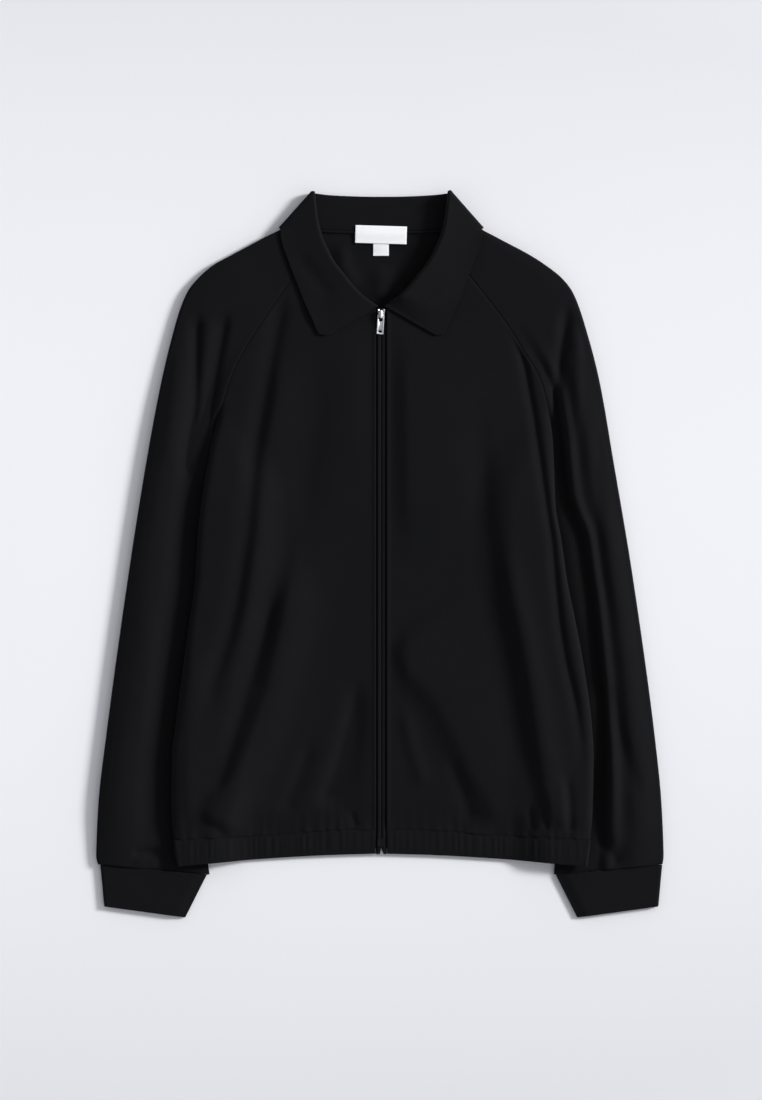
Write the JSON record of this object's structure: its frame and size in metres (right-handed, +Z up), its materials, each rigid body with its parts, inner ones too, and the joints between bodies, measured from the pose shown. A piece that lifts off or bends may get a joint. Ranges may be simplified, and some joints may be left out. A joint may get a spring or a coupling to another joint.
{
  "type": "zip-up blouson jacket laid flat",
  "caption": "Blouson laid flat with its front up: turned-down collar, raglan sleeves folded down beside the body, closed zip, gathered waistband and knit cuffs.",
  "frame": {"origin": "middle of the bounding box at the underside, on the surface the garment lies on", "axes": "+Y runs from the hem to the collar, +X points to the wearer's left side, +Z is up, out of the front"},
  "size_m": [0.616, 0.7904, 0.0136],
  "materials": {
    "jersey": "smooth matte black jersey with a soft sheen",
    "rib": "black knit",
    "zip_tape": "black woven zip tape",
    "zip_box": "black moulded plastic",
    "silver": "brushed silver",
    "label": "plain white woven ribbon, bare"
  },
  "bodies": {
    "garment": {"back": "jersey", "front_left": "jersey", "front_right": "jersey", "sleeve_left": "jersey", "sleeve_right": "jersey", "collar": "jersey", "waistband": "jersey", "cuff_left": "rib", "cuff_right": "rib", "zip_tape_left": "zip_tape", "zip_tape_right": "zip_tape", "zip_box": "zip_box", "zip_slider": "silver", "neck_label": "label", "size_tab": "label"},
    "pull_tab": {"zip_pull": "silver"}
  },
  "joints": [
    {"name": "pull_swing", "type": "hinge", "parent": "garment", "child": "pull_tab", "pos_m": [0.00145, 0.263, 0.0112], "axis": [-1, 0, 0], "range_deg": [0, 175]}
  ]
}
